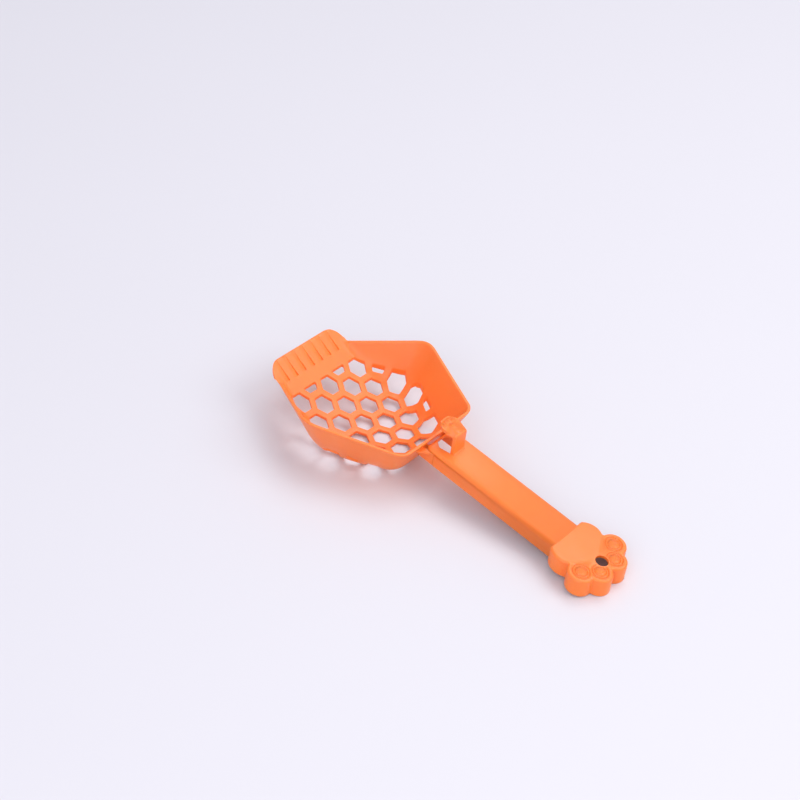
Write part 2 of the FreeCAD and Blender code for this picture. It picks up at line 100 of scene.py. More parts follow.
# ---- fork and handle, millimetres ----------------------------------------------------
HANDLE_TOP_X, HANDLE_TOP_Z, HANDLE_DEPTH = 119.3, 29.8, 11.0
HANDLE_HALF_WIDTH, RUNNING_GAP = 13.3, 0.3
SHOULDER_X, FORK_TIP_X, FORK_THICKNESS, FORK_SHORT = 125.3, 153.2, 2.0, 1.2
GUSSET_REACH, GUSSET_THICKNESS, GUSSET_BACK = 7.4, 1.5, 1.6
PRONG_ROOT, PRONG_INSET, GUSSET_INSET = 2.0, 0.02, 1.0
OVERALL = 259.8
HANDLE_FALL = (HANDLE_TOP_Z - HANDLE_DEPTH) / (OVERALL - HANDLE_TOP_X)


# ---- sizes and colours a user would change -------------------------------------------
class ScoopSizes(bpy.types.PropertyGroup):
    hole_pitch: bpy.props.FloatProperty(
        name="Hole pitch", description="Distance between rows of honeycomb holes",
        default=0.01566, unit="LENGTH")
    rib_width: bpy.props.FloatProperty(
        name="Rib width", description="Plastic left between two neighbouring holes",
        default=0.00395, unit="LENGTH")
    hole_corner: bpy.props.FloatProperty(
        name="Hole corner radius", description="Rounding of a hole's corners in plan",
        default=0.0008, unit="LENGTH")
    hole_edge: bpy.props.FloatProperty(
        name="Hole edge softness", description="Rounding of the edge between floor and hole",
        default=0.00035, unit="LENGTH")
    rim_edge: bpy.props.FloatProperty(
        name="Rim edge softness", description="Rounding of the rim's outer edge",
        default=0.0009, unit="LENGTH")
    lip_edge: bpy.props.FloatProperty(
        name="Lip edge softness", description="Rounding of the edges of the lip",
        default=0.0004, unit="LENGTH")
    groove_count: bpy.props.IntProperty(
        name="Grooves", description="Number of scraper grooves on the lip", default=7)
    groove_spacing: bpy.props.FloatProperty(
        name="Groove spacing", description="Distance between neighbouring grooves",
        default=0.00796, unit="LENGTH")
    groove_width: bpy.props.FloatProperty(
        name="Groove width", description="Distance over which a groove runs out",
        default=0.0032, unit="LENGTH")
    groove_depth: bpy.props.FloatProperty(
        name="Groove depth", description="Depth at the back end of a groove",
        default=0.0009, unit="LENGTH")
    lip_bevel: bpy.props.FloatProperty(
        name="Lip bevel", description="Length of the sloped strip at the front of the lip",
        default=0.0014, unit="LENGTH")
    mesh_step: bpy.props.FloatProperty(
        name="Mesh step", description="Distance between points on the open faces of the bowl",
        default=0.0018, unit="LENGTH")


class ScoopFinish(bpy.types.PropertyGroup):
    plastic: bpy.props.StringProperty(
        name="Plastic colour", description="Colour of the moulded plastic, as an sRGB hex code",
        default="FC8034")
    plastic_deep: bpy.props.StringProperty(
        name="Deep colour", description="Colour of the light that comes through the plastic",
        default="FF5A1C")
    floor: bpy.props.StringProperty(
        name="Floor colour", description="Colour of the studio floor, as an sRGB hex code",
        default="D7D6DC")
    gloss: bpy.props.FloatProperty(
        name="Roughness", description="Roughness of the satin plastic",
        default=0.36, min=0.0, max=1.0, subtype="FACTOR")
    glow: bpy.props.FloatProperty(
        name="Light through the plastic", description="Share of light that scatters inside",
        default=0.22, min=0.0, max=1.0, subtype="FACTOR")


class ScoopStudio(bpy.types.PropertyGroup):
    azimuth: bpy.props.FloatProperty(
        name="Camera azimuth", description="Angle of the camera round the scoop",
        default=math.radians(34.819132), subtype="ANGLE")
    elevation: bpy.props.FloatProperty(
        name="Camera elevation", description="Angle of the camera above the floor",
        default=math.radians(38.975160), subtype="ANGLE")
    roll: bpy.props.FloatProperty(
        name="Camera roll", description="Turn of the camera about its own view",
        default=math.radians(8.232557), subtype="ANGLE")
    distance: bpy.props.FloatProperty(
        name="Camera distance", description="Distance from the camera to the point it looks at",
        default=1.178566, unit="LENGTH")
    aim: bpy.props.FloatVectorProperty(
        name="Camera aim", description="Point that the camera looks at",
        default=(-0.058432, 0.019010, 0.02), size=3, subtype="XYZ")
    lens: bpy.props.FloatProperty(
        name="Camera lens", description="Focal length in millimetres on a 36 mm sensor",
        default=82.113)


# ---- helpers -------------------------------------------------------------------------
def linear(code):
    """Linear RGBA of an sRGB hex code."""
    values = []
    for k in (0, 2, 4):
        c = int(code[k:k + 2], 16) / 255.0
        values.append(c / 12.92 if c <= 0.04045 else ((c + 0.055) / 1.055) ** 2.4)
    return (*values, 1.0)


def add_node(tree, kind, settings=None, **links):
    """A node of a tree with its settings; an input is given a value or another socket."""
    node = tree.nodes.new(kind)
    for key, value in (settings or {}).items():
        setattr(node, key, value)
    for key, value in links.items():
        name = key.replace("_", " ")
        socket = node.inputs[int(key[1:])] if key[1:].isdigit() else node.inputs[name]
        if isinstance(value, bpy.types.NodeSocket):
            tree.links.new(value, socket)
        else:
            socket.default_value = value
    return node


def mesh_piece(name, points, faces, material):
    """A mesh object at the origin from points in millimetres measured from the lip."""
    mesh = bpy.data.meshes.new(name)
    place = np.array(points, float) * MM
    place[:, 0] += LIP_EDGE
    mesh.from_pydata([tuple(p) for p in place], [], [tuple(f) for f in faces])
    mesh.validate()
    mesh.materials.append(material)
    piece = bpy.data.objects.new(name, mesh)
    bpy.context.scene.collection.objects.link(piece)
    return piece


def soften(piece, angle):
    """Smooth shading with sharp edges where faces meet at more than the angle, in degrees."""
    mesh = piece.data
    mesh.polygons.foreach_set("use_smooth", [True] * len(mesh.polygons))
    mesh.set_sharp_from_angle(angle=math.radians(angle))
    mesh.update()


# ---- materials -----------------------------------------------------------------------
def moulded_polypropylene(name, seed):
    """Satin moulded polypropylene: even orange with faint flow clouds, a fine spark-eroded
    texture from the mould, slightly uneven gloss, and some light through the walls."""
    finish = bpy.context.scene.scoop_finish
    material = bpy.data.materials.new(name)
    material.use_nodes = True
    tree = material.node_tree
    tree.nodes.clear()
    place = add_node(tree, "ShaderNodeTexCoord").outputs["Object"]
    moved = add_node(tree, "ShaderNodeMapping", Vector=place, Location=(seed, 0.3 * seed, 0.0))
    spot = moved.outputs["Vector"]
    clouds = add_node(tree, "ShaderNodeTexNoise", Vector=spot, Scale=28.0, Detail=3.0)
    base = linear(finish.plastic)
    tone = add_node(tree, "ShaderNodeValToRGB", Fac=clouds.outputs["Fac"])
    tone.color_ramp.elements[0].position = 0.3
    tone.color_ramp.elements[1].position = 0.7
    tone.color_ramp.elements[0].color = (*[c * 0.955 for c in base[:3]], 1.0)
    tone.color_ramp.elements[1].color = (*[min(c * 1.03, 1.0) for c in base[:3]], 1.0)
    patches = add_node(tree, "ShaderNodeTexNoise", Vector=spot, Scale=160.0, Detail=4.0)
    gloss = add_node(
        tree, "ShaderNodeMapRange", Value=patches.outputs["Fac"],
        From_Min=0.3, From_Max=0.7, To_Min=finish.gloss - 0.045, To_Max=finish.gloss + 0.055)
    grain = add_node(tree, "ShaderNodeTexNoise", Vector=spot, Scale=2600.0, Detail=2.0)
    fine = add_node(
        tree, "ShaderNodeBump", Height=grain.outputs["Fac"], Strength=0.10, Distance=0.00006)
    waves = add_node(tree, "ShaderNodeTexNoise", Vector=spot, Scale=70.0, Detail=1.0)
    relief = add_node(
        tree, "ShaderNodeBump", Height=waves.outputs["Fac"], Strength=0.12, Distance=0.0006,
        Normal=fine.outputs["Normal"])
    shader = add_node(
        tree, "ShaderNodeBsdfPrincipled",
        Base_Color=tone.outputs["Color"], Roughness=gloss.outputs["Result"],
        Normal=relief.outputs["Normal"], IOR=1.49)
    shader.inputs["Subsurface Weight"].default_value = finish.glow
    shader.inputs["Subsurface Radius"].default_value = linear(finish.plastic_deep)[:3]
    shader.inputs["Subsurface Scale"].default_value = 0.003
    add_node(tree, "ShaderNodeOutputMaterial", Surface=shader.outputs["BSDF"])
    return material


def studio_card():
    """Matt pale card for the floor, very faintly uneven."""
    finish = bpy.context.scene.scoop_finish
    material = bpy.data.materials.new("pale studio card")
    material.use_nodes = True
    tree = material.node_tree
    tree.nodes.clear()
    place = add_node(tree, "ShaderNodeTexCoord").outputs["Object"]
    clouds = add_node(tree, "ShaderNodeTexNoise", Vector=place, Scale=3.0, Detail=1.0)
    base = linear(finish.floor)
    tone = add_node(tree, "ShaderNodeValToRGB", Fac=clouds.outputs["Fac"])
    tone.color_ramp.elements[0].color = (*[c * 0.985 for c in base[:3]], 1.0)
    tone.color_ramp.elements[1].color = base
    shader = add_node(
        tree, "ShaderNodeBsdfPrincipled", Base_Color=tone.outputs["Color"], Roughness=0.55)
    add_node(tree, "ShaderNodeOutputMaterial", Surface=shader.outputs["BSDF"])
    return material


# ---- bowl: faces as heights over the plan --------------------------------------------
def soft_max(a, b, k):
    """The larger of a and b, rounded over where they are within k of each other."""
    h = np.maximum(k - np.abs(a - b), 0.0)
    return np.maximum(a, b) + h * h / (4.0 * k)


def floor_z(x):
    """Inner face of the floor along the middle line."""
    x = np.asarray(x, float)
    ahead = FLOOR_LOW_X - np.maximum(x, LIP_STRAIGHT_X)
    front = WALL + FLOOR_CLIMB * np.maximum(ahead, 0.0) ** FLOOR_POWER
    curved = FLOOR_LOW_X - LIP_STRAIGHT_X
    fall = FLOOR_CLIMB * FLOOR_POWER * curved ** (FLOOR_POWER - 1.0)
    front = front + fall * np.maximum(LIP_STRAIGHT_X - x, 0.0)
    return np.where(ahead > 0, front, WALL + BACK_CLIMB * ahead * ahead)


def rim_z(x):
    """Height of the rim: just above the lip, up to the wide corners, down to the back."""
    x = np.asarray(x, float)
    start = float(floor_z(LIP_LENGTH)) + JUNCTION_RISE
    climb = (WIDE_Z - start) / (WIDE_X - LIP_LENGTH)
    fall = (BACK_Z - WIDE_Z) / (BACK_X - WIDE_X)
    line = WIDE_Z + np.where(x < WIDE_X, climb, fall) * (x - WIDE_X)
    near = np.clip(RIDGE_REACH - np.abs(x - WIDE_X), 0.0, None)
    line = line - (climb - fall) * near ** 2 / (4.0 * RIDGE_REACH)
    return np.where(x < LIP_LENGTH, floor_z(x) + JUNCTION_RISE, line)


def basin_z(x, y):
    """Inner face of floor and walls, carried on past the rim."""
    x = np.asarray(x, float)
    side = np.abs(y)
    across = WALL * math.sqrt(1.0 + WALL_RUN ** 2)
    start = float(floor_z(LIP_LENGTH)) + JUNCTION_RISE
    spread = (WIDE_HALF_WIDTH - LIP_HALF_WIDTH) / (WIDE_X - LIP_LENGTH)
    ahead = np.maximum(LIP_LENGTH - x, 0.0)
    half = LIP_HALF_WIDTH + spread * (x - LIP_LENGTH) - across * math.hypot(1.0, spread)
    half = half + LIP_TURN * ahead * ahead
    front_rim = WIDE_Z + (WIDE_Z - start) / (WIDE_X - LIP_LENGTH) * (x - WIDE_X)
    front_wall = front_rim + (side - half) / WALL_RUN
    narrow = (WIDE_HALF_WIDTH - BACK_HALF_WIDTH) / (BACK_X - WIDE_X)
    half = WIDE_HALF_WIDTH - narrow * (x - WIDE_X) - across * math.hypot(1.0, narrow)
    rear_rim = WIDE_Z + (BACK_Z - WIDE_Z) * (x - WIDE_X) / (BACK_X - WIDE_X)
    rear_wall = rear_rim + (side - half) / WALL_RUN
    back_wall = BACK_Z + (x - BACK_X + WALL * math.sqrt(1.0 + BACK_RUN ** 2)) / BACK_RUN
    walls = soft_max(front_wall, rear_wall, WIDE_BLEND)
    walls = soft_max(walls, back_wall, BACK_BLEND)
    t = np.clip((x - LIP_LENGTH - BLEND_START) / BLEND_GROWTH, 0.0, 1.0)
    blend = LIP_BLEND + (FLOOR_BLEND - LIP_BLEND) * t * t * (3.0 - 2.0 * t)
    return soft_max(floor_z(x), walls, blend)


def slope(x, y):
    """Slopes of the inner face along and across the scoop."""
    e = 0.01
    along = (basin_z(x + e, y) - basin_z(x - e, y)) / (2 * e)
    across = (basin_z(x, y + e) - basin_z(x, y - e)) / (2 * e)
    return along, across


def outer_z(x, y):
    """Outer face: the inner face moved out by the wall thickness, at the plan point x, y."""
    x, y = np.asarray(x, float), np.asarray(y, float)
    a, b = x.copy(), y.copy()
    for _ in range(30):
        along, across = slope(a, b)
        length = np.sqrt(1.0 + along ** 2 + across ** 2)
        a = 0.5 * a + 0.5 * (x - WALL * along / length)
        b = 0.5 * b + 0.5 * (y - WALL * across / length)
    along, across = slope(a, b)
    return basin_z(a, b) - WALL / np.sqrt(1.0 + along ** 2 + across ** 2)


def groove_depth(x, y):
    """Depth of the saw-tooth grooves: full at the steep side, running out on the other, and
    shallow at the front of the lip."""
    sizes = bpy.context.scene.scoop_sizes
    width = sizes.groove_width / MM
    deep = sizes.groove_depth / MM
    share = (x - GROOVE_FRONT_X) / (GROOVE_BACK_X - GROOVE_FRONT_X)
    depth = np.zeros_like(x)
    inside = (share > -1e-4) & (share < 1.0001)
    for line in groove_lines():
        off = (line - y) / width
        hit = inside & (off > -1e-4) & (off < 1.0001)
        along = GROOVE_FRONT_SHARE + (1.0 - GROOVE_FRONT_SHARE) * share
        depth = np.where(hit, deep * along * (1.0 - off), depth)
    return depth


def groove_lines():
    """Places across the lip of the steep sides of the grooves."""
    sizes = bpy.context.scene.scoop_sizes
    middle = (sizes.groove_count - 1) / 2.0
    return [(k - middle) * sizes.groove_spacing / MM for k in range(sizes.groove_count)]


def top_face(x, y):
    """Everything seen from above: floor, walls, flat rim, grooves and the bevel of the lip."""
    sizes = bpy.context.scene.scoop_sizes
    bevel = sizes.lip_bevel / MM
    z = -soft_max(-basin_z(x, y), -rim_z(x), RIM_BLEND)
    z = z - groove_depth(x, y)
    drop = np.maximum(bevel - x, 0.0) * LIP_BEVEL_DROP
    return z - drop


def bottom_face(x, y):
    """Everything seen from below, up to the rim."""
    return np.minimum(outer_z(x, y), rim_z(x))


# ---- bowl: outlines in plan ----------------------------------------------------------
def honeycomb_tree():
    """Hexagons on a honeycomb lattice, for the holes of the sieve."""
    tree = bpy.data.node_groups.new("Honeycomb", "GeometryNodeTree")
    sockets = tree.interface
    for name, default in (("Pitch", 0.01566), ("Hole", 0.0117)):
        socket = sockets.new_socket(name, in_out="INPUT", socket_type="NodeSocketFloat")
        socket.default_value = default
    for name, default in (("Rows", 4), ("Columns", 9)):
        socket = sockets.new_socket(name, in_out="INPUT", socket_type="NodeSocketInt")
        socket.default_value = default
    sockets.new_socket("Material", in_out="INPUT", socket_type="NodeSocketMaterial")
    sockets.new_socket("Geometry", in_out="OUTPUT", socket_type="NodeSocketGeometry")
    given = tree.nodes.new("NodeGroupInput")
    pitch = given.outputs["Pitch"]
    step = add_node(tree, "ShaderNodeMath", {"operation": "MULTIPLY"}, _0=pitch, _1=math.sqrt(3.0))
    sets = []
    for shift in (0.0, 0.5):
        rows = add_node(
            tree, "GeometryNodeMeshLine", {"mode": "OFFSET", "count_mode": "TOTAL"},
            Count=given.outputs["Columns"])
        along = add_node(tree, "ShaderNodeCombineXYZ", X=pitch)
        tree.links.new(along.outputs["Vector"], rows.inputs["Offset"])
        line = add_node(
            tree, "GeometryNodeMeshLine", {"mode": "OFFSET", "count_mode": "TOTAL"},
            Count=given.outputs["Rows"])
        across = add_node(tree, "ShaderNodeCombineXYZ", Y=step.outputs["Value"])
        tree.links.new(across.outputs["Vector"], line.inputs["Offset"])
        copies = add_node(
            tree, "GeometryNodeInstanceOnPoints",
            Points=rows.outputs["Mesh"], Instance=line.outputs["Mesh"])
        flat = add_node(tree, "GeometryNodeRealizeInstances", Geometry=copies.outputs["Instances"])
        push = add_node(
            tree, "ShaderNodeCombineXYZ",
            X=add_node(tree, "ShaderNodeMath", {"operation": "MULTIPLY"},
                       _0=pitch, _1=shift).outputs["Value"],
            Y=add_node(tree, "ShaderNodeMath", {"operation": "MULTIPLY"},
                       _0=step.outputs["Value"], _1=shift).outputs["Value"])
        placed = add_node(
            tree, "GeometryNodeSetPosition", Geometry=flat.outputs["Geometry"],
            Offset=push.outputs["Vector"])
        sets.append(placed.outputs["Geometry"])
    join = tree.nodes.new("GeometryNodeJoinGeometry")
    for out in sets:
        tree.links.new(out, join.inputs["Geometry"])
    reach = add_node(
        tree, "ShaderNodeMath", {"operation": "DIVIDE"}, _0=given.outputs["Hole"],
        _1=math.sqrt(3.0))
    hexagon = add_node(
        tree, "GeometryNodeMeshCircle", {"fill_type": "NGON"}, Vertices=6,
        Radius=reach.outputs["Value"])
    turned = add_node(
        tree, "GeometryNodeTransform", Geometry=hexagon.outputs["Mesh"],
        Rotation=(0.0, 0.0, math.radians(30.0)))
    holes = add_node(
        tree, "GeometryNodeInstanceOnPoints", Points=join.outputs["Geometry"],
        Instance=turned.outputs["Geometry"])
    real = add_node(tree, "GeometryNodeRealizeInstances", Geometry=holes.outputs["Instances"])
    painted = add_node(
        tree, "GeometryNodeSetMaterial", Geometry=real.outputs["Geometry"],
        Material=given.outputs["Material"])
    out = tree.nodes.new("NodeGroupOutput")
    tree.links.new(painted.outputs["Geometry"], out.inputs["Geometry"])
    return tree


def node_mesh(tree, inputs):
    """Plain mesh that a node tree makes from its named inputs."""
    carrier = bpy.data.objects.new("carrier", bpy.data.meshes.new("carrier"))
    bpy.context.scene.collection.objects.link(carrier)
    modifier = carrier.modifiers.new("nodes", "NODES")
    modifier.node_group = tree
    for item in tree.interface.items_tree:
        if item.in_out == "INPUT" and item.name in inputs:
            modifier[item.identifier] = inputs[item.name]
    carrier.update_tag()
    bpy.context.view_layer.update()
    seen = carrier.evaluated_get(bpy.context.evaluated_depsgraph_get())
    mesh = bpy.data.meshes.new_from_object(seen)
    bpy.data.objects.remove(carrier)
    return mesh


def clipped(loop, field):
    """The part of a loop inside a convex field, both anticlockwise."""
    for k in range(len(field)):
        a, b = field[k], field[(k + 1) % len(field)]
        edge = b - a
        kept = []
        for i in range(len(loop)):
            p, q = loop[i], loop[(i + 1) % len(loop)]
            side_p = edge[0] * (p[1] - a[1]) - edge[1] * (p[0] - a[0])
            side_q = edge[0] * (q[1] - a[1]) - edge[1] * (q[0] - a[0])
            if side_p >= 0:
                kept.append(p)
            if side_p * side_q < 0:
                kept.append(p + (q - p) * side_p / (side_p - side_q))
        loop = kept
        if len(loop) < 3:
            return []
    return loop


def area(loop):
    """Area of a loop, positive where it runs anticlockwise."""
    pts = np.array(loop)
    nxt = np.roll(pts, -1, axis=0)
    return 0.5 * float(np.sum(pts[:, 0] * nxt[:, 1] - pts[:, 1] * nxt[:, 0]))


def rounded(loop, radius, spacing):
    """A polygon with its corners rounded, as evenly spaced points and outward directions."""
    pts = np.array(loop, float)
    keep = [i for i in range(len(pts)) if np.linalg.norm(pts[i] - pts[i - 1]) > 0.05]
    pts = pts[keep]
    places, outward = [], []
    count = len(pts)
    for i in range(count):
        p, c, n = pts[i - 1], pts[i], pts[(i + 1) % count]
        u = (p - c) / np.linalg.norm(p - c)
        w = (n - c) / np.linalg.norm(n - c)
        half = math.acos(float(np.clip(u @ w, -1, 1))) / 2.0
        r = min(radius, 0.45 * min(np.linalg.norm(p - c), np.linalg.norm(n - c)) * math.tan(half))
        back = r / math.tan(half)
        centre = c + (u + w) / np.linalg.norm(u + w) * r / math.sin(half)
        first = c + u * back - centre
        last = c + w * back - centre
        a0 = math.atan2(first[1], first[0])
        sweep = (math.atan2(last[1], last[0]) - a0) % (2 * math.pi)
        arcs = 4
        for k in range(arcs + 1):
            a = a0 + sweep * k / arcs
            way = np.array([math.cos(a), math.sin(a)])
            places.append(centre + way * r)
            outward.append(way)
        start = c + w * back
        following = pts[(i + 2) % count]
        v = (following - n) / np.linalg.norm(following - n)
        half_n = math.acos(float(np.clip(-w @ v, -1, 1))) / 2.0
        room = 0.45 * min(np.linalg.norm(n - c), np.linalg.norm(following - n))
        stop = n - w * min(radius, room * math.tan(half_n)) / math.tan(half_n)
        run = np.linalg.norm(stop - start)
        steps = int(run // spacing)
        for k in range(1, steps):
            places.append(start + (stop - start) * k / steps)
            outward.append(np.array([w[1], -w[0]]))
    return np.array(places), np.array(outward)


def sieve_loops():
    """Outlines of the holes: the lattice cut off where the walls begin, corners rounded."""
    sizes = bpy.context.scene.scoop_sizes
    pitch = sizes.hole_pitch / MM
    mesh = node_mesh(honeycomb_tree(), {
        "Pitch": sizes.hole_pitch, "Hole": sizes.hole_pitch - sizes.rib_width,
        "Rows": 5, "Columns": 8})
    half = [
        (SIEVE_FRONT_X, SIEVE_FRONT_HALF), (SIEVE_WIDE_X, SIEVE_WIDE_HALF),
        (SIEVE_CORNER_X, SIEVE_CORNER_HALF), (SIEVE_BACK_X, SIEVE_BACK_HALF)]
    field = [np.array((x, -y)) for x, y in half] + [np.array(p) for p in reversed(half)]
    start = np.array([SIEVE_FIRST_X - pitch, -2 * pitch * math.sqrt(3.0)])
    loops = []
    for polygon in mesh.polygons:
        ring = [np.array(mesh.vertices[v].co[:2]) / MM + start for v in polygon.vertices]
        if area(ring) < 0:
            ring.reverse()
        ring = clipped(ring, field)
        if len(ring) > 2 and area(ring) > SMALLEST_HOLE:
            loops.append(rounded(ring, sizes.hole_corner / MM, 1.0))
    bpy.data.meshes.remove(mesh)
    return loops


def ray_hits(height, turn):
    """Distance along each ray from the bowl's centre where height(x, y) passes zero."""
    low = np.full_like(turn, RAY_START)
    high = np.full_like(turn, RAY_END)
    for _ in range(40):
        mid = 0.5 * (low + high)
        x = BOWL_CENTRE_X + mid * np.cos(turn)
        y = mid * np.sin(turn)
        over = height(x, y) > 0
        high = np.where(over, mid, high)
        low = np.where(over, low, mid)
    return 0.5 * (low + high)


def rim_distance(turn, below):
    """Distance along each ray to the outer face at the given height below the rim, no further
    than the corner where the lip starts."""
    distance = ray_hits(lambda x, y: outer_z(x, y) - rim_z(x) + below, turn)
    corner = math.hypot(BOWL_CENTRE_X - LIP_LENGTH, LIP_HALF_WIDTH)
    near_lip = np.abs(turn) > math.atan2(LIP_HALF_WIDTH + 1.5, LIP_LENGTH + 2.0 - BOWL_CENTRE_X)
    return np.where(near_lip, np.minimum(distance, corner), distance)


def rim_turns():
    """Directions of the rays to the rim, evenly spaced along it, from the right-hand junction
    of lip and wall round the back to the left-hand one."""
    last = math.atan2(LIP_HALF_WIDTH, LIP_LENGTH + 0.35 - BOWL_CENTRE_X)
    rough = np.linspace(-last, last, 2001)
    far = rim_distance(rough, 0.0)
    x = BOWL_CENTRE_X + far * np.cos(rough)
    y = far * np.sin(rough)
    run = np.concatenate([[0.0], np.cumsum(np.hypot(np.diff(x), np.diff(y)))])
    return np.interp(np.linspace(0.0, run[-1], RIM_POINTS), run, rough)


def on_ray(turn, distance):
    """Plan points at a distance from the bowl's centre along each ray."""
    return np.stack([BOWL_CENTRE_X + distance * np.cos(turn), distance * np.sin(turn)], 1)


def lip_outline():
    """Outline of the lip from the left-hand junction round the front to the right-hand one."""
    places, outward = [], []
    for k in range(1, 7):
        places.append((LIP_LENGTH - k * (LIP_LENGTH - LIP_CORNER_R) / 7.0, LIP_HALF_WIDTH))
        outward.append((0.0, 1.0))
    for side, first in ((1, 90.0), (-1, 180.0)):
        centre = (LIP_CORNER_R, side * (LIP_HALF_WIDTH - LIP_CORNER_R))
        for k in range(19):
            a = math.radians(first + 5.0 * k)
            places.append((centre[0] + LIP_CORNER_R * math.cos(a),
                           centre[1] + LIP_CORNER_R * math.sin(a)))
            outward.append((math.cos(a), math.sin(a)))
        if side == 1:
            for k in range(1, 40):
                y = (LIP_HALF_WIDTH - LIP_CORNER_R) * (1.0 - k / 20.0)
                places.append((0.0, y))
                outward.append((-1.0, 0.0))
    for k in range(6, 0, -1):
        places.append((LIP_LENGTH - k * (LIP_LENGTH - LIP_CORNER_R) / 7.0, -LIP_HALF_WIDTH))
        outward.append((0.0, -1.0))
    return np.array(places), np.array(outward)


def with_height(plan, z):
    """Plan points with their heights beside them."""
    return np.column_stack([plan, z])


def edge_strip(t, ct, cb, o):
    """Cross sections of a rounded edge: from the top face at t, round the corners ct and cb, to
    the bottom face at o."""
    length = np.linalg.norm(cb - ct, axis=1)
    soft_t = np.linalg.norm(ct - t, axis=1)
    soft_b = np.linalg.norm(cb - o, axis=1)
    share_t = np.minimum(0.5, soft_t / np.maximum(length, 1e-6))[:, None]
    share_b = np.minimum(0.5, soft_b / np.maximum(length, 1e-6))[:, None]
    wt = ct + (cb - ct) * share_t
    wb = cb + (ct - cb) * share_b
    rows = []
    for k in range(4):
        s = k / 3.0
        rows.append((1 - s) ** 2 * t + 2 * s * (1 - s) * ct + s * s * wt)
    rows.append(0.5 * (wt + wb))
    for k in range(4):
        s = k / 3.0
        rows.append((1 - s) ** 2 * wb + 2 * s * (1 - s) * cb + s * s * o)
    return rows


def bowl_edges():
    """The outer edge of the bowl and the edges of all holes, each as rounded cross sections."""
    sizes = bpy.context.scene.scoop_sizes
    soft = sizes.rim_edge / MM
    turn = rim_turns()
    far = rim_distance(turn, 0.0)
    upper = rim_distance(turn, 0.55 * soft)
    lower = rim_distance(turn, 1.25 * soft)
    plan_t, plan_ct = on_ray(turn, far - 1.0 * soft), on_ray(turn, far - 0.42 * soft)
    plan_cb, plan_o = on_ray(turn, upper), on_ray(turn, lower)
    lip, away = lip_outline()
    soft_lip = sizes.lip_edge / MM
    lip_in = lip - away * soft_lip
    plans = []
    for rim_part, lip_part in ((plan_t, lip_in), (plan_ct, lip), (plan_cb, lip), (plan_o, lip_in)):
        plans.append(np.concatenate([rim_part, lip_part]))
    tops = [with_height(p, top_face(p[:, 0], p[:, 1])) for p in plans[:2]]
    bottoms = [with_height(p, bottom_face(p[:, 0], p[:, 1])) for p in plans[2:]]
    edges = [edge_strip(tops[0], tops[1], bottoms[0], bottoms[1])]
    soft_hole = sizes.hole_edge / MM
    for loop, outward in sieve_loops():
        wide = loop + outward * soft_hole
        t = with_height(wide, top_face(wide[:, 0], wide[:, 1]))
        ct = with_height(loop, top_face(loop[:, 0], loop[:, 1]))
        cb = with_height(loop, bottom_face(loop[:, 0], loop[:, 1]))
        o = with_height(wide, bottom_face(wide[:, 0], wide[:, 1]))
        strip = edge_strip(t, ct, cb, o)
        edges.append([row[::-1] for row in strip])
    return edges


def inside(points, loop):
    """Which points lie inside a closed loop."""
    x, y = points[:, 0][:, None], points[:, 1][:, None]
    x0, y0 = loop[:, 0][None, :], loop[:, 1][None, :]
    x1, y1 = np.roll(loop[:, 0], -1)[None, :], np.roll(loop[:, 1], -1)[None, :]
    crosses = (y0 > y) != (y1 > y)
    with np.errstate(divide="ignore", invalid="ignore"):
        at = x0 + (y - y0) * (x1 - x0) / (y1 - y0)
    return (np.sum(crosses & (x < at), axis=1) % 2) == 1


def sheet(loops, lines, step):
    """Triangles over the plan inside the first loop and outside the others.  The first points
    are the loops' own, in order."""
    points = [p for loop in loops for p in loop]
    edges = []
    start = 0
    for loop in loops:
        count = len(loop)
        edges += [(start + k, start + (k + 1) % count) for k in range(count)]
        start += count
    for line, closed in lines:
        count = len(line)
        edges += [(start + k, start + k + 1) for k in range(count - 1)]
        if closed:
            edges.append((start + count - 1, start))
        points += list(line)
        start += count
    fixed = np.array(points)
    low, high = loops[0].min(0), loops[0].max(0)
    across = step * math.sqrt(3.0) / 2.0
    grid = []
    for j in range(int((high[1] - low[1]) / across) + 1):
        y = low[1] + across * j
        for i in range(int((high[0] - low[0]) / step) + 1):
            grid.append((low[0] + step * (i + 0.5 * (j % 2)), y))
    grid = np.array(grid)
    grid = grid[inside(grid, loops[0])]
    for loop in loops[1:]:
        grid = grid[~inside(grid, loop)]
    clear = np.ones(len(grid), bool)
    for k in range(0, len(grid), 500):
        part = grid[k:k + 500]
        gaps = np.linalg.norm(part[:, None, :] - fixed[None, :, :], axis=2).min(1)
        clear[k:k + 500] = gaps > 0.55 * step
    points += list(grid[clear])
    vertices, _, faces, origin, _, _ = delaunay_2d_cdt(
        [Vector((float(p[0]), float(p[1]))) for p in points], edges, [], 0, 1e-6)
    if len(vertices) != len(points):
        merged = {}
        for index, sources in enumerate(origin):
            for source in sources:
                merged[source] = index
        first = [merged[k] for k in range(sum(len(loop) for loop in loops))]
    else:
        first = list(range(sum(len(loop) for loop in loops)))
    plan = np.array([(v.x, v.y) for v in vertices])
    faces = np.array([f for f in faces if len(f) == 3])
    middles = plan[faces].mean(1)
    good = inside(middles, loops[0])
    for loop in loops[1:]:
        good &= ~inside(middles, loop)
    faces = faces[good]
    a, b, c = plan[faces[:, 0]], plan[faces[:, 1]], plan[faces[:, 2]]
    turned = (b[:, 0] - a[:, 0]) * (c[:, 1] - a[:, 1]) - (b[:, 1] - a[:, 1]) * (c[:, 0] - a[:, 0])
    faces[turned < 0] = faces[turned < 0][:, ::-1]
    return plan, faces, first


